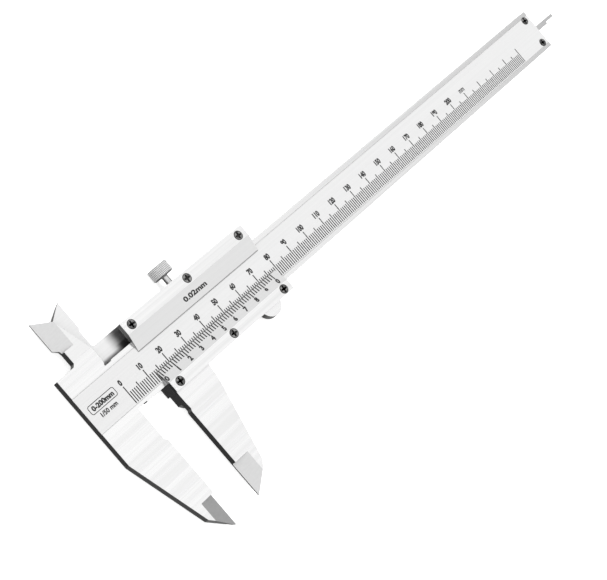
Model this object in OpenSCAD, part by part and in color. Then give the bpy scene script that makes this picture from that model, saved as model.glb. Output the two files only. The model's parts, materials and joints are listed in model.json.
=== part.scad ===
// Vernier caliper with outside jaws, inside jaws, depth rod and lock screw, 0 to 200 mm.
// +X runs along the beam to its free end, and x = 0 is the fixed measuring face.
// +Y points to the inside jaws, and y = 0 is the beam's centre line.
// +Z points out of the graduated face, and z = 0 is the plane that the caliper lies on.

/* [Beam] */
// Width of the beam
beam_w = 18.7; // [18:0.1:20]
// Thickness of the beam and of the outside jaws
beam_t = 3; // [2.9:0.1:3.4]
// From the fixed measuring face to the beam's free end
beam_len = 269.7; // [268:0.1:275]
// From the fixed measuring face back to the head's left end
head_len = 17.6; // [17.4:0.1:20]
// Depth of the satin recess that carries the scale
recess_d = 0.12; // [0.05:0.01:0.2]
// Edge of the recess on the inside-jaw side
recess_top = 7.39; // [6.5:0.01:7.6]
// Edge of the recess on the outside-jaw side
recess_bottom = -7.61; // [-7.8:0.01:-6.5]

/* [Outside jaws] */
// How far the tip of the fixed outside jaw lies below the centre line
jaw_tip = 59.9; // [58.5:0.1:64]
// How far the tip of the moving outside jaw lies below the centre line
moving_tip = 58.2; // [56:0.1:62]
// Where the knife edge of the fixed jaw starts
knife_start = 46.5; // [44:0.1:48]
// Where the knife edge of the moving jaw starts
moving_knife_start = 44.4; // [42:0.1:48]
// Width of the knife bevel across the front face
knife_w = 6.4; // [5:0.1:7.4]
// Thickness left at a knife edge
knife_land = 0.6; // [0.3:0.1:1]
// How far the jaw roots stand back from the measuring faces
root_relief = 1; // [0.9:0.1:1.5]

/* [Inside jaws] */
// Height of the inside jaw tips above the centre line
inside_tip = 35.4; // [33:0.1:38]
// Distance from the outside measuring face back to the inside measuring edge
inside_back = 10.4; // [10:0.1:11]
// Thickness left at an inside measuring edge
inside_land = 0.5; // [0.3:0.1:0.8]

/* [Slider] */
// Jaw opening at which the caliper is drawn
opening = 14; // [0:0.5:200]
// Length of the slider's channel
slider_len = 64.6; // [64:0.1:65]
// Thickness of the slider's back web
web_t = 2.65; // [2.6:0.05:2.9]
// Running gap between the beam and the slider
run_gap = 0.05; // [0.04:0.01:0.1]
// Outer edge of the upper rail
rail_top = 16.5; // [16.3:0.05:17]
// Outer edge of the lower rail
rail_bottom = -13.4; // [-14:0.1:-13.2]
// Length of the two bevelled plates
plate_len = 65.4; // [65:0.1:66]
// Thickness of the two bevelled plates
plate_t = 2.1; // [1.6:0.05:2.2]
// Thickness at the thin edge of each plate
plate_edge = 0.13; // [0.1:0.01:0.3]
// Radius of the thumb rest
thumb_r = 4.9; // [4:0.1:6]

/* [Lock screw and gib] */
// Diameter of the knurled head
knob_d = 8.3; // [7:0.1:8.4]
// Height of the knurled head
knob_h = 4.4; // [3:0.1:5]
// Diameter of the lock screw's stem
stem_d = 2.4; // [2:0.1:2.6]
// Place of the lock screw along the slider
lock_x = 27.8; // [26:0.1:28.2]
// Thickness of the gib strip, across the beam's edge
gib_t = 0.7; // [0.5:0.05:0.75]

/* [Depth rod] */
// Width of the rod
rod_w = 2.3; // [2:0.1:3]
// Thickness of the rod
rod_t = 1.2; // [1:0.1:1.4]
// Length of the narrow tip
rod_tip = 5.8; // [3:0.1:8]
// Start of the rod along the slider
rod_x = 34; // [32:1:36]

/* [Screws] */
// Head diameter of the plate screws
plate_head = 3.6; // [3.2:0.1:3.6]
// Thread diameter of the plate screws and the gib screws
plate_thread = 2; // [1.6:0.1:2.2]
// Head diameter of the end screws
end_head = 3.4; // [3:0.1:4]
// Thread diameter of the end screws
end_thread = 2; // [1.6:0.1:2.2]

/* [Hidden] */
$fn = 48;
e = 0.01;

// Levels across the thickness
beam_z = web_t + run_gap;
beam_top = beam_z + beam_t;
mid_z = beam_z + beam_t / 2;
rail_z = beam_top + run_gap;
plate_top = rail_z + plate_t;
edge_y = beam_w / 2;

// Inside jaws: the fixed one passes in front of the moving one, and each has a bevel
inside_bevel_y = 21.1;
inside_bevel_x = -3.9;
moving_bevel_w = 4.6;

// Slider places, measured from the moving measuring face
root_x = -0.6;
root_z = 0.1;
root_step = 0.3;
root_end = -19.5;
rail_x = 1;
rail_in = edge_y + 0.08;
plate_x = -0.7;
cover_edge = 5.2;
cover_flat = 11.75;
vernier_edge = -3.85;
vernier_flat = -9.4;
screw_x = [3, 32.2, 60.9];
cover_screw_y = 13.9;
vernier_screw_y = -11.3;
thumb_x = 54.4;
thumb_y = -12;
thumb_z = [1.6, 4.4];

// Gib, its pocket and its screws
gib_x = [3, 61];
gib_clear = 0.2;
gib_lift = 0.05;
gib_y = edge_y + gib_clear;
gib_roof = gib_y + gib_t + gib_lift;
gib_screw_x = [10, 52];
gib_screw_len = 3.6;
knob_y = 19.5;

// Depth rod and its groove
groove_gap = 0.1;
groove_x = 30;
pin_d = 1.2;
pin_x = [38, 61];
pin_cap = 0.2;
tip_share = 0.62;

// End stop
stop_len = 4.9;
stop_x = beam_len - stop_len;
end_screw_x = beam_len - 3.7;
end_screw_y = 6;
end_chamfer = 0.6;

// Screws: cone heights, lengths, and the levels of their heads
plate_cone = 0.95;
plate_screw_len = plate_t + beam_t - 0.3;
plate_head_z = plate_top + 0.05;
end_cone = 1.3;
end_screw_len = beam_t + 1;
end_head_z = beam_top - 0.02;
seat_gap = 0.02;
rim_share = 0.35;
slot_turn = -6;

// Margins: how far a cutting shape runs past the face it opens
cut = 1;
hole_gap = 0.04;

// Extrudes an outline drawn in Y and Z along +X.
module along_x(length) {
    rotate([90, 0, 90]) linear_extrude(length) children();
}

// Extrudes an outline drawn in X and Z along +Y, between two heights.
module along_y(y0, y1) {
    translate([0, y1, 0]) rotate([90, 0, 0]) linear_extrude(y1 - y0) children();
}

// A hole or shaft along +Y from y0 to y1.
module rod_y(d, y0, y1) {
    translate([0, y0, 0]) rotate([-90, 0, 0]) cylinder(d = d, h = y1 - y0);
}

// A countersunk screw: top at z = 0, running down, with a cross recess.
module cross_screw(head, thread, length, cone) {
    rim = cone * rim_share;
    slot = head * 0.74;
    slot_w = head * 0.2;
    slot_d = cone * 0.55;
    core_d = head * 0.36;
    difference() {
        union() {
            translate([0, 0, -rim]) cylinder(d = head, h = rim);
            translate([0, 0, -cone]) cylinder(d1 = thread, d2 = head, h = cone - rim + e);
            translate([0, 0, -length]) cylinder(d = thread, h = length - cone + e);
        }
        for (turn = [0, 90]) rotate([0, 0, turn + slot_turn])
            translate([-slot / 2, -slot_w / 2, -slot_d]) cube([slot, slot_w, slot_d + cut]);
        translate([0, 0, -slot_d]) cylinder(d = core_d, h = slot_d + cut);
    }
}

// The hole that a countersunk screw sits in, with a little clearance all round.
module screw_seat(head, thread, length, cone) {
    rim = cone * rim_share;
    wide = head + 2 * seat_gap;
    narrow = thread + 2 * seat_gap;
    translate([0, 0, -rim - seat_gap]) cylinder(d = wide, h = rim + cut);
    translate([0, 0, -cone - seat_gap]) cylinder(d1 = narrow, d2 = wide, h = cone - rim);
    translate([0, 0, -length - seat_gap]) cylinder(d = narrow, h = length + cut);
}

// The holes of the two end screws
module end_screw_seats() {
    for (side = [-1, 1]) translate([end_screw_x, side * end_screw_y, end_head_z])
        screw_seat(end_head, end_thread, end_screw_len, end_cone);
}

// The knife bevel of an outside jaw: side 1 slopes towards -X and side -1 towards +X.
module knife_cut(side, tip, start) {
    slope = (beam_t - knife_land) / knife_w;
    along_y(-tip - cut, -start) polygon([
        [-side * knife_w, beam_top],
        [-side * (knife_w - cut), beam_top + cut],
        [side * cut, beam_top + cut],
        [side * cut, beam_z + knife_land - slope * cut],
    ]);
}

// Beam, fixed outside jaw and the blank of the head, seen from the front
module beam_outline() {
    notch = 0.4;
    notch_x = 3.3;
    pad_y = -23.3;
    polygon([
        [-head_len, edge_y],
        [-head_len, -21.1],
        [-8.3, -52],
        [-1.2, -jaw_tip + 0.9],
        [0, -jaw_tip],
        [0, pad_y],
        [-root_relief, pad_y + 1],
        [-root_relief, -edge_y + notch],
        [notch_x, -edge_y + notch],
        [notch_x, -edge_y],
        [beam_len, -edge_y],
        [beam_len, edge_y],
        [notch_x, edge_y],
        [notch_x - notch, edge_y - notch],
        [0, edge_y - notch],
        [0, edge_y],
    ]);
}

// The head above the beam: the shoulder and the fixed inside jaw
module fixed_inside_outline() {
    polygon([
        [-head_len, edge_y - 1],
        [-head_len, 15],
        [-9.4, 15.2],
        [-8.4, 16.1],
        [-8.4, 20.9],
        [-8.7, 22.2],
        [-inside_back, 23.7],
        [-inside_back, inside_tip],
        [-4.1, 31.2],
        [0.6, 16.3],
        [0.7, 11.6],
        [0.4, 10],
        [0, edge_y],
        [-0.4, edge_y - 1],
    ]);
}

module main_beam() {
    color("lightgray") difference() {
        union() {
            translate([0, 0, beam_z]) linear_extrude(beam_t) beam_outline();
            translate([0, 0, beam_z]) linear_extrude(beam_t) fixed_inside_outline();
        }
        // scale recess
        translate([-head_len - cut, recess_bottom, beam_top - recess_d])
            cube([head_len + beam_len + 2 * cut, recess_top - recess_bottom, cut]);
        // groove for the depth rod
        translate([groove_x, -rod_w / 2 - groove_gap, beam_z - cut])
            cube([beam_len, rod_w + 2 * groove_gap, cut + rod_t + 2 * groove_gap]);
        knife_cut(1, jaw_tip, knife_start);
        // bevel of the fixed inside jaw
        along_y(inside_bevel_y, inside_tip + cut) polygon([
            [inside_bevel_x, beam_top],
            [inside_bevel_x, beam_top + cut],
            [-inside_back - cut, beam_top + cut],
            [-inside_back - cut, beam_z + inside_land],
            [-inside_back, beam_z + inside_land],
        ]);
        // chamfer of the free end
        along_y(-edge_y - cut, edge_y + cut) polygon([
            [beam_len - end_chamfer, beam_top + e],
            [beam_len + e, beam_top + e],
            [beam_len + e, beam_top - end_chamfer],
        ]);
        end_screw_seats();
    }
}

module end_stop_plate() {
    color("silver") difference() {
        translate([stop_x, -edge_y, 0]) cube([stop_len, beam_w, beam_z]);
        end_screw_seats();
    }
}

module end_screw(side) {
    color("dimgray") translate([end_screw_x, side * end_screw_y, end_head_z])
        cross_screw(end_head, end_thread, end_screw_len, end_cone);
}

// Moving outside jaw with its root, seen from the front
module moving_jaw_outline() {
    polygon([
        [root_x, -rail_in],
        [root_x, rail_bottom],
        [root_step, rail_bottom],
        [root_step, -17.8],
        [0.5, -20.7],
        [0, -21.6],
        [0, -moving_tip],
        [1.2, -moving_tip + 0.9],
        [7.4, -51.8],
        [9.1, -49.9],
        [16.2, -21.8],
        [17, -17.6],
        [17.4, -13.3],
        [17.4, -rail_in],
    ]);
}

// Thick root of the moving outside jaw, seen from the front
module moving_root_outline() {
    polygon([
        [root_x, -rail_in],
        [root_x, rail_bottom],
        [root_step, rail_bottom],
        [root_step, -17.8],
        [1.7, root_end],
        [16.4, root_end],
        [17.2, -rail_in],
    ]);
}

// Moving inside jaw and the neck that carries it behind the beam, seen from the front
module moving_inside_outline() {
    left = -inside_back - 6.3;
    neck_y = edge_y - 0.85;
    polygon([
        [2, neck_y],
        [left + 2.2, neck_y],
        [left, neck_y + 2.2],
        [left, 31.2],
        [-inside_back, inside_tip],
        [-inside_back, 24.2],
        [-inside_back - 0.7, 23.4],
        [-inside_back - 0.7, 17.2],
        [-inside_back + 0.1, 16.4],
        [-inside_back + 4, rail_top],
        [2, rail_top],
    ]);
}

module slider_blank() {
    difference() {
        translate([root_x, 0, 0]) along_x(slider_len) polygon([
            [rail_bottom, 0],
            [rail_top, 0],
            [rail_top, rail_z],
            [rail_in, rail_z],
            [rail_in, web_t],
            [-rail_in, web_t],
            [-rail_in, rail_z],
            [rail_bottom, rail_z],
        ]);
        translate([root_x - cut, rail_in, -cut]) cube([rail_x - root_x + cut, rail_top, rail_z + 2 * cut]);
    }
    translate([0, 0, beam_z]) linear_extrude(beam_t) moving_jaw_outline();
    translate([0, 0, root_z]) linear_extrude(beam_top - root_z) moving_root_outline();
    linear_extrude(web_t) moving_inside_outline();
    // thumb rest
    translate([thumb_x, thumb_y, thumb_z[0]]) cylinder(r = thumb_r, h = thumb_z[1] - thumb_z[0]);
}

module slider_body() {
    color("gainsboro") translate([opening, 0, 0]) difference() {
        slider_blank();
        // the beam's way through the thumb rest
        translate([thumb_x - 2 * thumb_r, -rail_in, web_t]) cube([4 * thumb_r, edge_y, beam_t + cut]);
        // pocket for the gib
        translate([gib_x[0], edge_y, web_t]) cube([gib_x[1] - gib_x[0], gib_roof - edge_y, beam_t + cut]);
        knife_cut(-1, moving_tip, moving_knife_start);
        // bevel of the moving inside jaw, on its back
        along_y(inside_bevel_y, inside_tip + cut) polygon([
            [-inside_back - moving_bevel_w, 0],
            [-inside_back - moving_bevel_w, -cut],
            [-inside_back + cut, -cut],
            [-inside_back + cut, web_t - inside_land],
            [-inside_back, web_t - inside_land],
        ]);
        translate([lock_x, 0, mid_z]) rod_y(stem_d + 0.1, edge_y, rail_top + cut);
        for (x = gib_screw_x) translate([x, 0, mid_z])
            rod_y(plate_thread + hole_gap, edge_y, rail_top + cut);
        for (x = screw_x) {
            translate([x, cover_screw_y, plate_head_z])
                screw_seat(plate_head, plate_thread, plate_screw_len, plate_cone);
            translate([x, vernier_screw_y, plate_head_z])
                screw_seat(plate_head, plate_thread, plate_screw_len, plate_cone);
        }
        for (x = pin_x) translate([x, 0, -cut]) cylinder(d = pin_d + hole_gap, h = web_t + 2 * cut);
    }
}

// A bevelled plate: flat over its rail, then sloping down to a thin edge over the beam
module bevelled_plate(outer, flat, edge, screw_y) {
    color("whitesmoke") translate([opening, 0, 0]) difference() {
        translate([plate_x, 0, rail_z]) along_x(plate_len) polygon([
            [outer, 0],
            [outer, plate_t],
            [flat, plate_t],
            [edge, plate_edge],
            [edge, 0],
        ]);
        for (x = screw_x) translate([x, screw_y, plate_head_z])
            screw_seat(plate_head, plate_thread, plate_screw_len, plate_cone);
    }
}

module upper_cover_plate() {
    bevelled_plate(rail_top, cover_flat, cover_edge, cover_screw_y);
}

module vernier_plate() {
    bevelled_plate(rail_bottom, vernier_flat, vernier_edge, vernier_screw_y);
}

module plate_screw(place, y) {
    color("dimgray") translate([opening + screw_x[place], y, plate_head_z])
        cross_screw(plate_head, plate_thread, plate_screw_len, plate_cone);
}

// A headless slotted screw that bears on the gib
module gib_screw(place) {
    y0 = gib_y + gib_t + gib_lift / 2;
    y1 = y0 + gib_screw_len;
    slot_w = 0.4;
    slot_d = 0.8;
    color("dimgray") translate([opening + gib_screw_x[place], 0, mid_z]) difference() {
        rod_y(plate_thread, y0, y1);
        translate([-plate_thread, y1 - slot_d, -slot_w / 2])
            cube([2 * plate_thread, slot_d + cut, slot_w]);
    }
}

module gib_strip() {
    end_gap = 0.3;
    height = beam_t - 2 * run_gap;
    color("goldenrod") translate([opening + gib_x[0] + end_gap, gib_y, beam_z])
        cube([gib_x[1] - gib_x[0] - 2 * end_gap, gib_t, height]);
}

// Knurled head, stem and point, turned on one axis along Y
module lock_screw() {
    point_y = gib_y + gib_t + 0.02;
    rim = 0.4;
    point = 0.5;
    knurl_d = knob_d - 0.3;
    color("silver") translate([opening + lock_x, 0, mid_z]) rotate([-90, 0, 0]) rotate_extrude() polygon([
        [0, point_y],
        [stem_d / 2 - point, point_y],
        [stem_d / 2, point_y + point],
        [stem_d / 2, knob_y],
        [knob_d / 2 - rim, knob_y],
        [knob_d / 2, knob_y + rim],
        [knob_d / 2, knob_y + 2 * rim],
        [knurl_d / 2, knob_y + 2 * rim],
        [knurl_d / 2, knob_y + knob_h - rim],
        [knurl_d / 2 - rim, knob_y + knob_h],
        [0, knob_y + knob_h],
    ]);
}

module depth_rod() {
    z0 = beam_z + groove_gap;
    length = beam_len - rod_x;
    color("darkgray") translate([opening, 0, 0]) difference() {
        translate([rod_x, -rod_w / 2, z0]) cube([length, rod_w, rod_t]);
        // the narrow tip keeps the part nearer to the inside jaws
        translate([beam_len - rod_tip, rod_w * (0.5 - tip_share) - rod_w, z0 - cut])
            cube([rod_tip + cut, rod_w, rod_t + 2 * cut]);
        for (x = pin_x) translate([x, 0, z0 - cut])
            cylinder(d = pin_d + hole_gap, h = cut + rod_t - pin_cap);
    }
}

module rod_pin(place) {
    z0 = 0.08;
    z1 = beam_z + groove_gap + rod_t - pin_cap - seat_gap;
    color("gray") translate([opening + pin_x[place], 0, z0]) cylinder(d = pin_d, h = z1 - z0);
}

main_beam();
end_stop_plate();
end_screw(1);  // end_screw_upper
end_screw(-1);  // end_screw_lower
slider_body();
upper_cover_plate();
vernier_plate();
plate_screw(0, cover_screw_y);  // cover_screw_left
plate_screw(1, cover_screw_y);  // cover_screw_middle
plate_screw(2, cover_screw_y);  // cover_screw_right
plate_screw(0, vernier_screw_y);  // vernier_screw_left
plate_screw(1, vernier_screw_y);  // vernier_screw_middle
plate_screw(2, vernier_screw_y);  // vernier_screw_right
gib_screw(0);  // gib_screw_left
gib_screw(1);  // gib_screw_right
gib_strip();
lock_screw();
depth_rod();
rod_pin(0);  // rod_pin_left
rod_pin(1);  // rod_pin_right
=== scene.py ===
"""Finishes, graduations, numbers and knurled lock screw of a vernier caliper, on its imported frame."""
import json
import math

import bmesh
import bpy
from mathutils import Matrix, Vector


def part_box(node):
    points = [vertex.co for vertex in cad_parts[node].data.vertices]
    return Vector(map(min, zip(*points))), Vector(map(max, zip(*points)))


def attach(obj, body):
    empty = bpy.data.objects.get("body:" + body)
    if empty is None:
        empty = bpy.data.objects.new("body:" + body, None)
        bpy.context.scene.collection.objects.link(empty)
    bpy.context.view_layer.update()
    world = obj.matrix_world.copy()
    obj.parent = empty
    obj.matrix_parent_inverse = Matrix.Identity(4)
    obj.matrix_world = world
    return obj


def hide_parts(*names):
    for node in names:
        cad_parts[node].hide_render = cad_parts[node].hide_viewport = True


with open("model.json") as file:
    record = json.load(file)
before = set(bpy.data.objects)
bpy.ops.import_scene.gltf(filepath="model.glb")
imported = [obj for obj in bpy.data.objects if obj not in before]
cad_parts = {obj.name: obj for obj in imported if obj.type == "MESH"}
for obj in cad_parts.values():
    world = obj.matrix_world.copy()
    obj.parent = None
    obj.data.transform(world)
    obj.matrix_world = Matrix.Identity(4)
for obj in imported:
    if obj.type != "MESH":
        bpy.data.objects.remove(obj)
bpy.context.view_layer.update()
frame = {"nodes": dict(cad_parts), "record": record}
MM = 0.001


def box_mm(node_name):
    """Lowest and highest corners of a CAD node at rest, in mm."""
    return [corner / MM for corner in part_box(node_name)]


# ---------------------------------------------------------------- sizes in mm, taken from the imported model
MOUNTS = {mount["name"]: mount for mount in frame["record"]["mounts"]}
OPENING = MOUNTS["moving_measuring_face"]["pos_m"][0] / MM
BEAM_TOP = box_mm("main_beam")[1].z
PLATE_LOW, PLATE_HIGH = box_mm("vernier_plate")
COVER_LOW, COVER_HIGH = box_mm("upper_cover_plate")
KNOB_LOW, KNOB_HIGH = box_mm("lock_screw")
# The beam's long edge: the end stop plate is as wide as the beam
EDGE_Y = box_mm("end_stop_plate")[1].y

# ---------------------------------------------------------------- sizes in mm, as the CAD source has them
# The satin recess that holds the main scale
RECESS_DEPTH = 0.12
RECESS_BOTTOM, RECESS_TOP = -7.61, 7.39
SCALE_Z = BEAM_TOP - RECESS_DEPTH
# The two plates: thickness of the thin edge, and Y where the slope ends
PLATE_EDGE = 0.13
VERNIER_FLAT, COVER_FLAT = -9.4, 11.75
# Y where the bevels of the jaws start
KNIFE_START, MOVING_KNIFE_START = -46.5, -44.4
INSIDE_BEVEL_START = 21.1
# The neck between the slider and the moving inside jaw: its top in Y, and X of the head's edge beside it
NECK_HIGH, HEAD_EDGE = 16.6, 0.7
# The lock screw
STEM_RADIUS, KNOB_HEIGHT, KNURL_DEPTH = 1.2, 4.4, 0.16

# ---------------------------------------------------------------- looks
# How far the ink reaches into the steel and stands out of it, in mm
EMBED, PROUD = 0.008, 0.012

# Values of a normal's component between which a mask goes from 0 to 1
LEVEL = (0.8, 0.95)
FLAT = (0.95, 0.99)
SLOPED = (0.5, 0.7)
LEANING = (0.15, 0.25)
UPRIGHT = (0.35, 0.12)
# Values of a noise between which a finish goes from one end of its range to the other
MOTTLE = (0.3, 0.7)

# Noise scales per mm along X, Y and Z
GROUND_GRAIN = (0.008, 1.6, 1.6)
DRAWN_GRAIN = (0.2, 12.0, 12.0)

# Tint, roughness and metallic share of the areas that aren't plainly ground along X
RECESS_LOOK = (0.655, 0.55, 0.12)
RIM_LOOK = (0.62, 0.5, 0.6)
INSIDE_BEVEL_LOOK = (0.6, 0.5, 0.3)
INSIDE_FLAT_LOOK = (0.7, 0.5, 0.2)
KNIFE_LOOK = (0.42, 0.45, 0.5)
MOVING_KNIFE_LOOK = (0.61, 0.5, 0.4)
NECK_LOOK = (0.7, 0.5, 0.12)
# Painted shade on the neck, darker towards the plates
NECK_SHADE_LOOK = (0.09, 0.5, 0.12)
# Painted shade line on the neck along the beam's edge
EDGE_SHADE_LINE_LOOK = (0.17, 0.5, 0.2)
# Painted shadow in the corner under the plates
CORNER_SHADOW_LOOK = (0.02, 0.5, 0.1)
# Colour of the walls: painted shade
WALL_TINT = 0.34

# Half the width of the grey line round the recess, and the width of the painted shadow line along the plates'
# thin edges, in mm
RIM_LINE, THIN_EDGE = 0.12, 0.32
SLOPE_TINT, FLAT_TINT = 0.6, 0.85

# Places in mm between which the painted shade on the neck gets darker, and where the painted shadow in the
# corner and the painted shade line along the beam's edge lie
NECK_SHADE_X = (OPENING - 7.0, OPENING - 0.7)
CORNER_SHADOW_X = (OPENING - 5.0, OPENING - 1.5)
CORNER_SHADOW_Y = (EDGE_Y + 3.2, EDGE_Y + 1.6)
EDGE_SHADE_LINE_Y = (EDGE_Y + 1.7, EDGE_Y + 0.2)

FLOOR_GLOW = 0.62


# ---------------------------------------------------------------- node helpers
class Nodes:
    """Builds a node tree with short calls."""

    # Where a mix node keeps the two inputs and the output of each data type
    COLOUR_SOCKETS = (6, 7, 2)
    NUMBER_SOCKETS = (2, 3, 0)

    def __init__(self, name, world=False):
        self.owner = bpy.data.worlds.new(name) if world else bpy.data.materials.new(name)
        self.owner.use_nodes = True
        self.tree = self.owner.node_tree
        self.tree.nodes.clear()

    def add(self, kind, **settings):
        node = self.tree.nodes.new(kind)
        for key, value in settings.items():
            setattr(node, key, value)
        return node

    def link(self, source, target):
        self.tree.links.new(source, target)

    def put(self, socket, value):
        """Links a socket to another one, or sets it to a number or colour."""
        if isinstance(value, bpy.types.NodeSocket):
            self.link(value, socket)
        else:
            socket.default_value = value

    def math(self, operation, first, second=0.0):
        node = self.add("ShaderNodeMath", operation=operation)
        self.put(node.inputs[0], first)
        self.put(node.inputs[1], second)
        return node.outputs[0]

    def product(self, *values):
        result = values[0]
        for value in values[1:]:
            result = self.math("MULTIPLY", result, value)
        return result

    def mixed(self, data_type, sockets, factor, first, second):
        node = self.add("ShaderNodeMix", data_type=data_type)
        self.put(node.inputs["Factor"], factor)
        self.put(node.inputs[sockets[0]], first)
        self.put(node.inputs[sockets[1]], second)
        return node.outputs[sockets[2]]

    def mix(self, factor, first, second):
        """Mixes two colours, each a socket or three numbers."""
        first, second = [
            colour if isinstance(colour, bpy.types.NodeSocket) else (*colour, 1.0)
            for colour in (first, second)]
        return self.mixed("RGBA", self.COLOUR_SOCKETS, factor, first, second)

    def blend(self, factor, first, second):
        """Mixes two numbers."""
        return self.mixed("FLOAT", self.NUMBER_SOCKETS, factor, first, second)

    def step(self, value, start, end):
        """0 before start, 1 after end, smooth between; start may be the larger one."""
        node = self.add("ShaderNodeMapRange", interpolation_type="SMOOTHSTEP")
        if start > end:
            start, end = end, start
            node.inputs["To Min"].default_value, node.inputs["To Max"].default_value = 1.0, 0.0
        self.put(node.inputs["Value"], value)
        node.inputs["From Min"].default_value = start
        node.inputs["From Max"].default_value = end
        return node.outputs["Result"]

    def band(self, value, low, high, soft):
        """1 between low and high, and 0 outside."""
        rise = self.step(value, low - soft, low + soft)
        fall = self.step(value, high + soft, high - soft)
        return self.product(rise, fall)

    def place(self):
        """The position in mm, its X, Y and Z, and the X, Y and Z of the normal, all in the object's space."""
        coordinates = self.add("ShaderNodeTexCoord")
        scaled = self.add("ShaderNodeVectorMath", operation="SCALE")
        self.link(coordinates.outputs["Object"], scaled.inputs[0])
        scaled.inputs["Scale"].default_value = 1 / MM
        here = self.add("ShaderNodeSeparateXYZ")
        self.link(scaled.outputs[0], here.inputs[0])
        facing = self.add("ShaderNodeSeparateXYZ")
        self.link(coordinates.outputs["Normal"], facing.inputs[0])
        return scaled.outputs[0], here.outputs, facing.outputs

    def grain(self, position, per_mm, detail=3.0, roughness=0.55, offset=(0.0, 0.0, 0.0)):
        """Noise with its own scale along X, Y and Z: a small scale along X gives streaks along X."""
        mapping = self.add("ShaderNodeMapping")
        self.link(position, mapping.inputs["Vector"])
        mapping.inputs["Scale"].default_value = per_mm
        mapping.inputs["Location"].default_value = offset
        noise = self.add("ShaderNodeTexNoise")
        self.link(mapping.outputs[0], noise.inputs["Vector"])
        noise.inputs["Scale"].default_value = 1.0
        noise.inputs["Detail"].default_value = detail
        noise.inputs["Roughness"].default_value = roughness
        return noise.outputs["Fac"]

    def bump(self, height, distance_mm, strength):
        node = self.add("ShaderNodeBump")
        self.link(height, node.inputs["Height"])
        node.inputs["Distance"].default_value = distance_mm * MM
        node.inputs["Strength"].default_value = strength
        return node.outputs["Normal"]

    def surface(self, colour, roughness, normal, metallic=1.0, **sockets):
        """Ends the material in a shader. More of its sockets may be named, with _ for a space."""
        shader = self.add("ShaderNodeBsdfPrincipled")
        self.put(shader.inputs["Base Color"], colour)
        self.put(shader.inputs["Roughness"], roughness)
        self.put(shader.inputs["Metallic"], metallic)
        if normal is not None:
            self.link(normal, shader.inputs["Normal"])
        for name, value in sockets.items():
            shader.inputs[name.replace("_", " ")].default_value = value
        out = self.add("ShaderNodeOutputMaterial")
        self.link(shader.outputs[0], out.inputs["Surface"])
        return self.owner


def grey(value, warm=0.0):
    return (value + warm, value, value - warm)


# ---------------------------------------------------------------- masks
def upright_mask(nodes, facing):
    """1 on walls."""
    return nodes.step(nodes.math("ABSOLUTE", facing["Z"]), *UPRIGHT)


def bevel_mask(nodes, facing, side):
    """1 on slopes that lean towards +X where side is 1, or -X where it is -1."""
    lean = nodes.math("MULTIPLY", facing["X"], side)
    return nodes.product(nodes.step(lean, *LEANING), nodes.step(facing["Z"], *SLOPED))


def recess_mask(nodes, here, facing):
    inside = nodes.band(here["Y"], RECESS_BOTTOM + 0.03, RECESS_TOP - 0.03, 0.03)
    at_bottom = nodes.band(here["Z"], SCALE_Z - 0.04, SCALE_Z + 0.04, 0.02)
    return nodes.product(inside, at_bottom, nodes.step(facing["Z"], *LEVEL))


def recess_rim(nodes, here, facing):
    """The thin grey line where the satin recess meets the ground strips."""
    lines = [
        nodes.band(here["Y"], edge - RIM_LINE, edge + RIM_LINE, 0.04)
        for edge in (RECESS_BOTTOM, RECESS_TOP)]
    return nodes.product(nodes.math("ADD", *lines), nodes.step(facing["Z"], *LEVEL))


def fixed_inside_bevel(nodes, here, facing):
    high = nodes.step(here["Y"], INSIDE_BEVEL_START - 0.05, INSIDE_BEVEL_START + 0.05)
    return nodes.product(high, bevel_mask(nodes, facing, -1))


def inside_jaw_flat(nodes, here, facing):
    """The flats of the inside jaws, ground finer than the rest."""
    high = nodes.step(here["Y"], NECK_HIGH - 0.1, NECK_HIGH + 0.1)
    return nodes.product(high, nodes.step(facing["Z"], *FLAT))


def fixed_knife_bevel(nodes, here, facing):
    low = nodes.step(here["Y"], KNIFE_START + 0.1, KNIFE_START - 0.1)
    return nodes.product(low, bevel_mask(nodes, facing, 1))


def moving_knife_bevel(nodes, here, facing):
    low = nodes.step(here["Y"], MOVING_KNIFE_START + 0.1, MOVING_KNIFE_START - 0.1)
    return nodes.product(low, bevel_mask(nodes, facing, -1))


def neck_mask(nodes, here, facing, low=EDGE_Y):
    """The level top of the neck, from low up to its top edge."""
    across = nodes.band(here["Y"], low, NECK_HIGH, 0.15)
    along = nodes.band(here["X"], HEAD_EDGE - 1.0, OPENING + 2.0, 0.3)
    return nodes.product(across, along, nodes.step(facing["Z"], *LEVEL))


def neck_shade(nodes, here, facing):
    """Painted shade on the neck, darker towards the plates: it stands for the shadow and the dark reflection
    of the plates' end wall.
    """
    return nodes.product(neck_mask(nodes, here, facing), nodes.step(here["X"], *NECK_SHADE_X))


def oiled_line(nodes, here, facing):
    """Painted shade line where the neck runs under the beam's edge."""
    neck = neck_mask(nodes, here, facing, EDGE_Y - 1.2)
    return nodes.product(neck, nodes.step(here["Y"], *EDGE_SHADE_LINE_Y))


def oiled_corner(nodes, here, facing):
    """Painted shadow in the corner under the plates."""
    neck = neck_mask(nodes, here, facing, EDGE_Y - 0.5)
    return nodes.product(neck, nodes.step(here["X"], *CORNER_SHADOW_X), nodes.step(here["Y"], *CORNER_SHADOW_Y))


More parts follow.
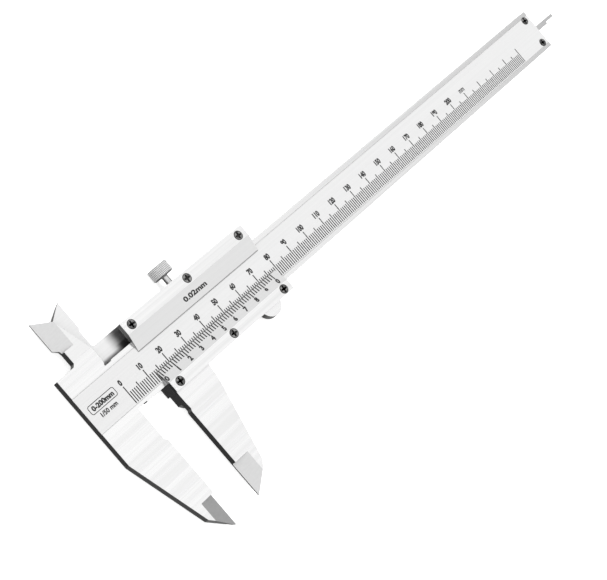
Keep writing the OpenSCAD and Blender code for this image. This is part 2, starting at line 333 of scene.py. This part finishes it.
# ---------------------------------------------------------------- materials
def brushed_steel(name, base, rough, areas):
    """Steel ground along X. Each of areas is a function that makes a mask, and the look inside that mask."""
    nodes = Nodes(name)
    position, here, facing = nodes.place()
    fine = nodes.grain(position, GROUND_GRAIN, detail=1.0)
    broad = nodes.grain(position, (0.006, 0.45, 0.45), detail=2.0, roughness=0.6, offset=(7.0, 3.0, 1.0))
    speck = nodes.grain(position, (6.0, 6.0, 6.0), detail=2.0, offset=(2.0, 5.0, 9.0))
    streak = nodes.blend(0.8, fine, broad)
    colour = nodes.mix(nodes.step(streak, 0.36, 0.64), grey(base - 0.03), grey(base + 0.02))
    roughness = nodes.blend(nodes.step(streak, *MOTTLE), rough + 0.03, rough - 0.02)
    metallic = 1.0
    for make_mask, (tint, dull, metal) in areas:
        mask = make_mask(nodes, here, facing)
        mottled = nodes.mix(nodes.step(fine, *MOTTLE), grey(tint - 0.012), grey(tint + 0.012))
        colour = nodes.mix(mask, colour, mottled)
        roughness = nodes.blend(mask, roughness, nodes.blend(fine, dull - 0.03, dull + 0.04))
        metallic = nodes.blend(mask, metallic, metal)
    # Walls get a dark grey with a mottled grain: the grain is the steel's own, the dark grey is painted shade
    wall = upright_mask(nodes, facing)
    shaded_wall = nodes.mix(nodes.step(speck, *MOTTLE), grey(WALL_TINT - 0.05), grey(WALL_TINT + 0.04, 0.003))
    colour = nodes.mix(wall, colour, shaded_wall)
    roughness = nodes.blend(wall, roughness, nodes.blend(speck, 0.34, 0.48))
    return nodes.surface(colour, roughness, nodes.bump(fine, 0.004, 0.4), metallic)


def satin_plate(name):
    """The two bevelled plates: satin slopes, brighter flats with fine grinding streaks, a painted shadow line
    along the thin edges, walls painted dark as shade, and a painted highlight at the walls' foot.
    """
    nodes = Nodes(name)
    position, here, facing = nodes.place()
    fine = nodes.grain(position, GROUND_GRAIN, detail=1.0)
    broad = nodes.grain(position, (0.004, 0.7, 0.7), detail=2.0, offset=(1.0, 8.0, 2.0))
    streak = nodes.blend(0.7, fine, broad)
    slope = nodes.step(nodes.math("ABSOLUTE", facing["Y"]), 0.06, 0.12)
    flat = nodes.mix(nodes.step(streak, 0.38, 0.62), grey(FLAT_TINT - 0.05), grey(FLAT_TINT + 0.03))
    sloped = nodes.mix(nodes.step(fine, *MOTTLE), grey(SLOPE_TINT - 0.008), grey(SLOPE_TINT + 0.008))
    colour = nodes.mix(slope, flat, sloped)
    roughness = nodes.blend(slope, nodes.blend(fine, 0.3, 0.4), nodes.blend(fine, 0.5, 0.58))
    metallic = nodes.blend(slope, 0.75, 0.12)
    # A painted shadow line along each plate's thin edge, and walls painted dark grey as shade
    cover_edge = nodes.band(here["Y"], COVER_LOW.y - 0.1, COVER_LOW.y + THIN_EDGE, 0.04)
    vernier_edge = nodes.band(here["Y"], PLATE_HIGH.y - THIN_EDGE, PLATE_HIGH.y + 0.1, 0.04)
    thin = nodes.math("MAXIMUM", cover_edge, vernier_edge)
    wall = upright_mask(nodes, facing)
    colour = nodes.mix(nodes.math("MAXIMUM", thin, wall), colour, grey(0.24))
    # A painted highlight along the foot of a wall, where it stands on the slider
    foot = nodes.product(wall, nodes.band(here["Z"], PLATE_LOW.z - 0.1, PLATE_LOW.z + 0.25, 0.05))
    colour = nodes.mix(foot, colour, grey(0.55))
    metallic = nodes.blend(wall, metallic, 1.0)
    return nodes.surface(colour, roughness, nodes.bump(fine, 0.006, 0.35), metallic)


def ground_rod(name, base):
    nodes = Nodes(name)
    position, here, facing = nodes.place()
    fine = nodes.grain(position, DRAWN_GRAIN)
    colour = nodes.mix(nodes.step(fine, *MOTTLE), grey(base - 0.08), grey(base + 0.06))
    return nodes.surface(colour, nodes.blend(fine, 0.26, 0.4), nodes.bump(fine, 0.01, 0.5))


def drawn_brass(name):
    nodes = Nodes(name)
    position, here, facing = nodes.place()
    fine = nodes.grain(position, DRAWN_GRAIN)
    colour = nodes.mix(fine, (0.56, 0.37, 0.14), (0.78, 0.57, 0.27))
    return nodes.surface(colour, nodes.blend(fine, 0.28, 0.42), nodes.bump(fine, 0.01, 0.5))


def from_axis(nodes, across, up, centre_across, centre_up):
    """Distance from an axis, in mm, from the two coordinates across it."""
    sideways = nodes.math("SUBTRACT", across, centre_across)
    upwards = nodes.math("SUBTRACT", up, centre_up)
    squares = nodes.math("ADD", nodes.product(sideways, sideways), nodes.product(upwards, upwards))
    return nodes.math("SQRT", squares)


def plated_knob(name):
    """Satin plating, bright on the worn tips, with painted shade in the knurl's grooves and under the knurl.
    """
    nodes = Nodes(name)
    position, here, facing = nodes.place()
    speck = nodes.grain(position, (7.0, 7.0, 7.0))
    turned = nodes.grain(position, (0.8, 18.0, 0.8), offset=(4.0, 0.0, 0.0))
    centre = (KNOB_LOW + KNOB_HIGH) / 2
    radius = (KNOB_HIGH.x - KNOB_LOW.x) / 2
    knurl_start = KNOB_HIGH.y - KNOB_HEIGHT + 0.4
    out = from_axis(nodes, here["X"], here["Z"], centre.x, centre.z)
    tips = nodes.mix(nodes.step(speck, 0.35, 0.7), grey(0.7), grey(0.82))
    # Painted shade in the knurl's grooves
    groove = nodes.band(out, radius - 0.4, radius - KNURL_DEPTH * 0.7, 0.04)
    knurled = nodes.step(here["Y"], knurl_start, knurl_start + 0.1)
    colour = nodes.mix(nodes.product(groove, knurled), tips, grey(0.28))
    # Painted shade on the shoulder under the knurl
    below = nodes.step(here["Y"], knurl_start, knurl_start - 0.1)
    shoulder = nodes.product(nodes.step(out, radius - 1.2, radius - 0.9), below)
    colour = nodes.mix(shoulder, colour, grey(0.12))
    stem = nodes.step(out, STEM_RADIUS + 0.4, STEM_RADIUS + 0.2)
    normal = nodes.bump(nodes.math("ADD", turned, speck), 0.004, 0.3)
    return nodes.surface(colour, nodes.blend(turned, 0.26, 0.4), normal, nodes.blend(stem, 0.25, 0.9))


def black_oxide(name, centre, radius, top):
    """Blackened screw: the head's top rubbed grey, with a black rim and a black cross recess."""
    nodes = Nodes(name)
    position, here, facing = nodes.place()
    speck = nodes.grain(position, (5.0, 5.0, 5.0), detail=4.0)
    patch = nodes.grain(position, (0.7, 0.7, 0.7), detail=1.0, offset=(3.0, 1.0, 0.0))
    black = nodes.mix(nodes.step(speck, *MOTTLE), grey(0.012), grey(0.03, 0.001))
    rubbed = nodes.mix(nodes.step(patch, 0.42, 0.6), grey(0.1), grey(0.27, 0.002))
    out = from_axis(nodes, here["X"], here["Y"], centre.x, centre.y)
    inner = nodes.step(out, radius * 0.93, radius * 0.78)
    high = nodes.step(here["Z"], top - 0.1, top - 0.05)
    worn = nodes.product(inner, high, nodes.step(facing["Z"], 0.85, 0.98))
    colour = nodes.mix(worn, black, rubbed)
    return nodes.surface(colour, nodes.blend(speck, 0.34, 0.5), nodes.bump(speck, 0.006, 0.4), metallic=0.5)


def screw_finish(node_name):
    """Every screw gets its own black finish, because its worn part lies round its own axis."""
    low, high = box_mm(node_name)
    return black_oxide(node_name + "_finish", (low + high) / 2, (high.x - low.x) / 2, high.z)


def scale_ink(name):
    """Matt black filling of the etched lines, a little worn."""
    nodes = Nodes(name)
    position, here, facing = nodes.place()
    speck = nodes.grain(position, (6.0, 6.0, 6.0), detail=4.0)
    colour = nodes.mix(nodes.step(speck, 0.35, 0.75), grey(0.012), grey(0.05))
    return nodes.surface(colour, nodes.blend(speck, 0.5, 0.75), nodes.bump(speck, 0.006, 0.4), metallic=0.0)


def pale_floor(name):
    """A pale light table: it glows a little, and so keeps the shadows faint."""
    nodes = Nodes(name)
    position, here, facing = nodes.place()
    cloud = nodes.grain(position, (0.004, 0.004, 0.004), detail=2.0)
    colour = nodes.mix(cloud, grey(0.86), grey(0.89))
    glow = {"Emission_Color": (1.0, 1.0, 1.0, 1.0), "Emission_Strength": FLOOR_GLOW}
    return nodes.surface(colour, 0.9, None, metallic=0.0, **glow)


BEAM_STEEL = brushed_steel("beam_finish", 0.88, 0.26, (
    (recess_mask, RECESS_LOOK),
    (recess_rim, RIM_LOOK),
    (inside_jaw_flat, INSIDE_FLAT_LOOK),
    (fixed_inside_bevel, INSIDE_BEVEL_LOOK),
    (fixed_knife_bevel, KNIFE_LOOK),
))
SLIDER_STEEL = brushed_steel("slider_finish", 0.88, 0.27, (
    (moving_knife_bevel, MOVING_KNIFE_LOOK),
    (inside_jaw_flat, INSIDE_FLAT_LOOK),
    (neck_mask, NECK_LOOK),
    # Painted shade on the neck towards the plates
    (neck_shade, NECK_SHADE_LOOK),
    # Painted shade line along the beam's edge
    (oiled_line, EDGE_SHADE_LINE_LOOK),
    # Painted shadow in the corner under the plates
    (oiled_corner, CORNER_SHADOW_LOOK),
))
PLATES = satin_plate("plate_finish")
ROD = ground_rod("rod_finish", 0.78)
END_PLATE = ground_rod("end_plate_finish", 0.7)
KNOB = plated_knob("knob_finish")
BRASS = drawn_brass("gib_finish")
INK = scale_ink("scale_ink")

# Nodes that aren't named here are black screws
FINISH = {
    "main_beam": BEAM_STEEL,
    "slider_body": SLIDER_STEEL,
    "upper_cover_plate": PLATES,
    "vernier_plate": PLATES,
    "end_stop_plate": END_PLATE,
    "depth_rod": ROD,
    "rod_pin_left": ROD,
    "rod_pin_right": ROD,
    "gib_strip": BRASS,
    "lock_screw": KNOB,
}
# Width of the edge breaks in mm, and the smallest crease that gets one in degrees
EDGE_BREAK = {
    "main_beam": 0.06,
    "slider_body": 0.06,
    "upper_cover_plate": 0.04,
    "vernier_plate": 0.04,
    "end_stop_plate": 0.08,
    "depth_rod": 0.04,
}
OTHER_EDGE_BREAK = 0.02
CREASE = {"main_beam": 7.0, "slider_body": 10.0, "upper_cover_plate": 10.0, "vernier_plate": 10.0}
OTHER_CREASE = 30.0
# Vertices closer than this in metres are welded, and faces closer to flat than this in degrees are joined
WELD_DISTANCE, FLAT_WITHIN = 1e-6, 0.5

for node_name, piece in frame["nodes"].items():
    piece.data.materials.clear()
    piece.data.materials.append(FINISH.get(node_name) or screw_finish(node_name))
    weld = piece.modifiers.new("weld", "WELD")
    weld.merge_threshold = WELD_DISTANCE
    flat = piece.modifiers.new("flat_faces", "DECIMATE")
    flat.decimate_type = "DISSOLVE"
    flat.angle_limit = math.radians(FLAT_WITHIN)
    edge = piece.modifiers.new("edge_break", "BEVEL")
    edge.width = EDGE_BREAK.get(node_name, OTHER_EDGE_BREAK) * MM
    edge.segments = 2
    edge.limit_method = "ANGLE"
    edge.angle_limit = math.radians(CREASE.get(node_name, OTHER_CREASE))
    edge.use_clamp_overlap = True
    edge.harden_normals = True
    for polygon in piece.data.polygons:
        polygon.use_smooth = True
    even = piece.modifiers.new("even_normals", "WEIGHTED_NORMAL")
    even.keep_sharp = True


# ---------------------------------------------------------------- graduations and numbers
def new_piece(name, bm, material, body):
    mesh = bpy.data.meshes.new(name)
    bm.to_mesh(mesh)
    bm.free()
    piece = bpy.data.objects.new(name, mesh)
    bpy.context.scene.collection.objects.link(piece)
    piece.data.materials.append(material)
    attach(piece, body)
    return piece


def new_marks(name, bm, body):
    """A piece of ink. Its nearest slot in the record is the black one."""
    new_piece(name, bm, INK, body)


def scale_face(_y):
    """Height of the main scale's recess, which is level."""
    return SCALE_Z


def slope_height(low, high, share):
    """Height of a plate's slope, where share is 0 at its thin edge and 1 at its flat."""
    thin = low.z + PLATE_EDGE
    return thin + (high.z - thin) * min(max(share, 0.0), 1.0)


def vernier_face(y):
    """Height of the vernier plate's slope at y."""
    return slope_height(PLATE_LOW, PLATE_HIGH, (PLATE_HIGH.y - y) / (PLATE_HIGH.y - VERNIER_FLAT))


def cover_face(y):
    """Height of the upper cover plate's slope at y."""
    return slope_height(COVER_LOW, COVER_HIGH, (y - COVER_LOW.y) / (COVER_FLAT - COVER_LOW.y))


# The six sides of a bar by its corners, which are numbered by end, then side, then level
BAR_FACES = ((1, 3, 7, 5), (0, 4, 6, 2), (0, 1, 5, 4), (2, 6, 7, 3), (0, 2, 3, 1), (4, 5, 7, 6))


def add_bar(bm, x, foot, top, width, face):
    """A thin inked line on a face, from foot to top in Y, as a closed prism."""
    corners = []
    for y in (foot, top):
        for side in (-0.5, 0.5):
            for lift in (-EMBED, PROUD):
                corners.append(bm.verts.new(Vector((x + side * width, y, face(y) + lift)) * MM))
    for sides in BAR_FACES:
        bm.faces.new([corners[index] for index in sides])


def add_text(bm, words, x, y, height, face, width=None, narrow=0.8, bold=0.0, lean=0.0):
    """A line of text centred on (x, y) on a face. Without a width, narrow is its share of the font's own."""
    curve = bpy.data.curves.new("words", "FONT")
    curve.body = words
    curve.align_x = "CENTER"
    curve.size = 1.0
    curve.offset = bold
    curve.resolution_u = 3
    curve.extrude = 0.5
    holder = bpy.data.objects.new("words", curve)
    bpy.context.scene.collection.objects.link(holder)
    bpy.context.view_layer.update()
    mesh = bpy.data.meshes.new_from_object(holder.evaluated_get(bpy.context.evaluated_depsgraph_get()))
    left, right = [pick(vertex.co.x for vertex in mesh.vertices) for pick in (min, max)]
    low, high = [pick(vertex.co.y for vertex in mesh.vertices) for pick in (min, max)]
    tall = height / (high - low)
    wide = width / (right - left) if width else tall * narrow
    for vertex in mesh.vertices:
        new_y = y + (vertex.co.y - (low + high) / 2) * tall
        new_x = x + (vertex.co.x - (left + right) / 2) * wide + lean * (new_y - y)
        lift = PROUD if vertex.co.z > 0 else -EMBED
        vertex.co = Vector((new_x, new_y, face(new_y) + lift)) * MM
    bm.from_mesh(mesh)
    bpy.data.objects.remove(holder)
    bpy.data.curves.remove(curve)
    bpy.data.meshes.remove(mesh)


def add_frame(bm, x, y, width, height, line, corner, face):
    """A rounded rectangular outline centred on (x, y), as a closed strip of the given line width."""
    arc_steps = 6
    levels = []
    for inset in (0.0, line):
        outline = []
        radius = corner - inset
        for side_x, side_y, start in ((1, 1, 0), (-1, 1, 90), (-1, -1, 180), (1, -1, 270)):
            centre_x = x + side_x * (width / 2 - inset - radius)
            centre_y = y + side_y * (height / 2 - inset - radius)
            for step in range(arc_steps + 1):
                angle = math.radians(start + 90 * step / arc_steps)
                outline.append((centre_x + radius * math.cos(angle), centre_y + radius * math.sin(angle)))
        for lift in (-EMBED, PROUD):
            levels.append([bm.verts.new(Vector((px, py, face(py) + lift)) * MM) for px, py in outline])
    out_low, out_high, in_low, in_high = levels
    for here in range(len(out_low)):
        after = (here + 1) % len(out_low)
        bm.faces.new((out_high[here], out_high[after], in_high[after], in_high[here]))
        bm.faces.new((out_low[after], out_low[here], in_low[here], in_low[after]))
        bm.faces.new((out_low[here], out_low[after], out_high[after], out_high[here]))
        bm.faces.new((in_low[after], in_low[here], in_high[here], in_high[after]))


# Sizes of the marks, in mm. The main scale counts in mm from the fixed measuring face, which is at X = 0
TICK_FOOT, TICK_WIDTH = -7.23, 0.42
TICK_LENGTH = {1: 4.4, 5: 5.5, 10: 7.0}
LAST_TICK, LAST_NUMBER = 250, 200
NUMBER_Y = TICK_FOOT + TICK_LENGTH[10] + 1.65
NUMBER_HEIGHT = 2.35
UNIT_X, UNIT_Y = LAST_NUMBER + 10, NUMBER_Y - 0.3
UNIT_WIDTH, UNIT_HEIGHT = 3.4, 1.5
# The measuring range in a plain frame, left of the zero line, and the division under it
RANGE_X, RANGE_Y, RANGE_WIDTH, RANGE_HEIGHT = -9.3, 0.65, 10.2, 2.0
FRAME_WIDTH, FRAME_HEIGHT, FRAME_LINE, FRAME_CORNER = 12.6, 3.5, 0.26, 0.9
DIVISION_Y, DIVISION_WIDTH, DIVISION_HEIGHT = RANGE_Y - 3.35, 7.6, 1.8
# The vernier scale, whose zero line is at the moving measuring face's X
VERNIER_DIVISIONS, VERNIER_PITCH, VERNIER_TICK = 50, 1.23, 0.5
VERNIER_TOP = PLATE_HIGH.y - 0.1
VERNIER_LONG_FOOT, VERNIER_SHORT_FOOT = -6.6, -6.1
VERNIER_NUMBER_Y, VERNIER_NUMBER_HEIGHT = -7.75, 2.1
# The resolution on the upper plate
RESOLUTION_X, RESOLUTION_Y = OPENING + 31.7, 8.6
RESOLUTION_WIDTH, RESOLUTION_HEIGHT, RESOLUTION_LEAN = 11.9, 2.05, -0.2

bm = bmesh.new()
for mark in range(LAST_TICK + 1):
    size = 10 if mark % 10 == 0 else 5 if mark % 5 == 0 else 1
    add_bar(bm, mark, TICK_FOOT, TICK_FOOT + TICK_LENGTH[size], TICK_WIDTH, scale_face)
new_marks("main_scale_lines", bm, "beam")

bm = bmesh.new()
for mark in range(0, LAST_NUMBER + 1, 10):
    add_text(bm, str(mark), mark, NUMBER_Y, NUMBER_HEIGHT, scale_face, bold=0.06)
new_marks("main_scale_numbers", bm, "beam")

bm = bmesh.new()
add_text(bm, "mm", UNIT_X, UNIT_Y, UNIT_HEIGHT, scale_face, UNIT_WIDTH, bold=0.03)
new_marks("main_scale_unit", bm, "beam")

bm = bmesh.new()
add_frame(bm, RANGE_X, RANGE_Y, FRAME_WIDTH, FRAME_HEIGHT, FRAME_LINE, FRAME_CORNER, scale_face)
add_text(bm, "0-200mm", RANGE_X, RANGE_Y, RANGE_HEIGHT, scale_face, RANGE_WIDTH, bold=0.055)
add_text(bm, "1/50 mm", RANGE_X, DIVISION_Y, DIVISION_HEIGHT, scale_face, DIVISION_WIDTH, bold=0.04)
new_marks("range_mark", bm, "beam")

bm = bmesh.new()
for mark in range(VERNIER_DIVISIONS + 1):
    foot = VERNIER_LONG_FOOT if mark % 5 == 0 else VERNIER_SHORT_FOOT
    add_bar(bm, OPENING + mark * VERNIER_PITCH, foot, VERNIER_TOP, VERNIER_TICK, vernier_face)
new_marks("vernier_lines", bm, "slider")

bm = bmesh.new()
for mark in range(0, VERNIER_DIVISIONS + 1, 5):
    label = str(mark // 5 % 10)
    x = OPENING + mark * VERNIER_PITCH
    add_text(bm, label, x, VERNIER_NUMBER_Y, VERNIER_NUMBER_HEIGHT, vernier_face, narrow=1.0, bold=0.06)
new_marks("vernier_numbers", bm, "slider")

bm = bmesh.new()
add_text(
    bm, "0.02mm", RESOLUTION_X, RESOLUTION_Y, RESOLUTION_HEIGHT, cover_face, RESOLUTION_WIDTH,
    bold=0.045, lean=RESOLUTION_LEAN)
new_marks("resolution_mark", bm, "slider")

# ---------------------------------------------------------------- knurled lock screw
# Teeth round the head, mesh steps for each of them, and the steepness of their flanks
KNURL_TEETH, STEPS_PER_TOOTH, FLANK = 42, 6, 3.2


def tooth(turns):
    """1 on the flat top of a tooth and 0 at the bottom of a groove, once a turn."""
    return min(1.0, FLANK * abs((turns % 1.0) - 0.5))


def lock_screw():
    """Turned stem and head on one axis along Y, with a fine square knurl, as one closed mesh."""
    centre = (KNOB_LOW + KNOB_HIGH) / 2
    radius = (KNOB_HIGH.x - KNOB_LOW.x) / 2
    stem, point, top = STEM_RADIUS, KNOB_LOW.y, KNOB_HIGH.y
    base = top - KNOB_HEIGHT
    segments = KNURL_TEETH * STEPS_PER_TOOTH
    knurl_low, knurl_high, knurl_radius = base + 0.5, top - 0.2, radius - 0.01
    teeth_along = round((knurl_high - knurl_low) / (2 * math.pi * radius / KNURL_TEETH))
    steps = teeth_along * STEPS_PER_TOOTH
    # Distances from the axis and Y of the turned profile, below and above the knurl
    below = (
        (stem - 0.5, point),
        (stem, point + 0.5),
        (stem, base - 0.3),
        (stem + 0.2, base - 0.1),
        (stem + 0.45, base),
        (radius - 0.75, base),
        (radius - 0.6, base + 0.05),
        (radius - 0.1, base + 0.42),
        (radius - 0.05, base + 0.48),
    )
    above = (
        (radius - 0.12, top - 0.1),
        (radius - 0.3, top),
        (radius - 1.0, top),
        (radius - 1.15, top - 0.05),
    )
    bm = bmesh.new()
    rings = []

    def add_ring(reaches, y):
        ring = []
        for index, reach in enumerate(reaches):
            angle = 2 * math.pi * index / segments
            spot = (centre.x + reach * math.cos(angle), y, centre.z + reach * math.sin(angle))
            ring.append(bm.verts.new(Vector(spot) * MM))
        rings.append(ring)

    def add_cap(ring, y, flip):
        hub = bm.verts.new(Vector((centre.x, y, centre.z)) * MM)
        for index in range(segments):
            after = (index + 1) % segments
            first, second = (after, index) if flip else (index, after)
            bm.faces.new((ring[first], ring[second], hub))

    for reach, y in below:
        add_ring([reach] * segments, y)
    for step in range(steps + 1):
        along = tooth(step / STEPS_PER_TOOTH + 0.5)
        heights = [min(along, tooth(index / STEPS_PER_TOOTH)) for index in range(segments)]
        y = knurl_low + (knurl_high - knurl_low) * step / steps
        add_ring([knurl_radius - KNURL_DEPTH * (1 - height) for height in heights], y)
    for reach, y in above:
        add_ring([reach] * segments, y)
    for low, high in zip(rings, rings[1:]):
        for index in range(segments):
            after = (index + 1) % segments
            bm.faces.new((low[index], high[index], high[after], low[after]))
    add_cap(rings[0], point, False)
    add_cap(rings[-1], above[-1][1], True)
    bmesh.ops.recalc_face_normals(bm, faces=bm.faces)
    piece = new_piece("knurled_lock_screw", bm, KNOB, "lock")
    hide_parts("lock_screw")


lock_screw()

# ---------------------------------------------------------------- floor
# Half its width and its middle, in metres. It lies 0.05 mm under the caliper, so that they don't touch
FLOOR_REACH = 40.0
FLOOR_PLACE = (0.1, 0.0, -0.00005)

floor_bm = bmesh.new()
bmesh.ops.create_grid(floor_bm, x_segments=8, y_segments=8, size=FLOOR_REACH)
floor_mesh = bpy.data.meshes.new("floor")
floor_bm.to_mesh(floor_mesh)
floor_bm.free()
floor = bpy.data.objects.new("floor", floor_mesh)
floor.location = FLOOR_PLACE
floor.data.materials.append(pale_floor("floor_finish"))
bpy.context.scene.collection.objects.link(floor)
floor.visible_glossy = False

# ---------------------------------------------------------------- light
# Brightness of the studio around the caliper, by height above the horizon (sine of the elevation)
TOWARDS_BEAM_END = (
    (0.0, 0.05), (0.12, 0.06), (0.34, 0.22), (0.55, 0.42), (0.66, 0.66),
    (0.76, 1.0), (0.87, 1.17), (0.96, 1.0), (1.0, 0.85))
ELSEWHERE = ((0.0, 0.45), (0.3, 0.6), (0.6, 0.9), (0.87, 1.12), (0.96, 0.95), (1.0, 0.85))
# Its brightness under the horizon, on the jaws' side and elsewhere
BELOW_DARK, BELOW_PALE = 0.012, 0.4
# Parts of a direction between which one brightness gives way to the other
BEAM_SIDE, JAW_SIDE, HORIZON = (0.2, 0.55), (-0.2, -0.5), (-0.06, 0.02)
# The colours of the world are shares of this, and the background multiplies them by it
STUDIO_STRENGTH = 1.2


def studio_world():
    nodes = Nodes("studio", world=True)
    coordinates = nodes.add("ShaderNodeTexCoord")
    ray = nodes.add("ShaderNodeSeparateXYZ")
    nodes.link(coordinates.outputs["Generated"], ray.inputs[0])

    def ramp(stops):
        node = nodes.add("ShaderNodeValToRGB")
        nodes.put(node.inputs[0], ray.outputs["Z"])
        points = node.color_ramp.elements
        while len(points) < len(stops):
            points.new(0.5)
        for point, (height, value) in zip(points, stops):
            point.position = height
            point.color = (*grey(value / STUDIO_STRENGTH), 1.0)
        return node.outputs[0]

    sky = nodes.mix(nodes.step(ray.outputs["X"], *BEAM_SIDE), ramp(ELSEWHERE), ramp(TOWARDS_BEAM_END))
    pale, dark = grey(BELOW_PALE / STUDIO_STRENGTH), grey(BELOW_DARK / STUDIO_STRENGTH)
    ground = nodes.mix(nodes.step(ray.outputs["X"], *JAW_SIDE), pale, dark)
    light = nodes.mix(nodes.step(ray.outputs["Z"], *HORIZON), ground, sky)
    background = nodes.add("ShaderNodeBackground")
    nodes.link(light, background.inputs["Color"])
    background.inputs["Strength"].default_value = STUDIO_STRENGTH
    out = nodes.add("ShaderNodeOutputWorld")
    nodes.link(background.outputs[0], out.inputs["Surface"])
    return nodes.owner


bpy.context.scene.world = studio_world()

# A soft round lamp over the beam, with its width in metres and its power in watts
LAMP_PLACE, LAMP_AIM = Vector((0.4, -0.05, 1.25)), Vector((0.05, 0.0, 0.0))
LAMP_WIDTH, LAMP_POWER = 0.5, 10.0

lamp_light = bpy.data.lights.new("key", "AREA")
lamp_light.shape = "DISK"
lamp_light.size = LAMP_WIDTH
lamp_light.energy = LAMP_POWER
lamp = bpy.data.objects.new("key", lamp_light)
lamp.location = LAMP_PLACE
lamp.rotation_mode = "QUATERNION"
lamp.rotation_quaternion = (LAMP_AIM - LAMP_PLACE).to_track_quat("-Z", "Y")
lamp.visible_glossy = False
bpy.context.scene.collection.objects.link(lamp)

# ---------------------------------------------------------------- camera
AIM = Vector((82.94, -16.39, SCALE_Z)) * MM
CAMERA_FROM_AIM = Vector((-0.59665, 0.03665, 0.80167)).normalized()
CAMERA_DISTANCE = 598.6 * MM
CAMERA_ROLL = math.radians(52.43)
CAMERA_LENS = 97.89
CLIP_START, CLIP_END = 0.01, 120.0

# The camera's axes: level and upward before the roll, right and up after it
forward = -CAMERA_FROM_AIM
level = forward.cross(Vector((0, 0, 1))).normalized()
upward = level.cross(forward)
right = level * math.cos(CAMERA_ROLL) + upward * math.sin(CAMERA_ROLL)
up = right.cross(forward)
camera_data = bpy.data.cameras.new("camera")
camera_data.lens = CAMERA_LENS
camera_data.sensor_width = 36.0
camera_data.clip_start = CLIP_START
camera_data.clip_end = CLIP_END
camera = bpy.data.objects.new("camera", camera_data)
axes = Matrix((right, up, -forward)).transposed().to_4x4()
camera.matrix_world = Matrix.Translation(AIM + CAMERA_FROM_AIM * CAMERA_DISTANCE) @ axes
bpy.context.scene.collection.objects.link(camera)
bpy.context.scene.camera = camera
bpy.context.scene.view_settings.view_transform = "Standard"
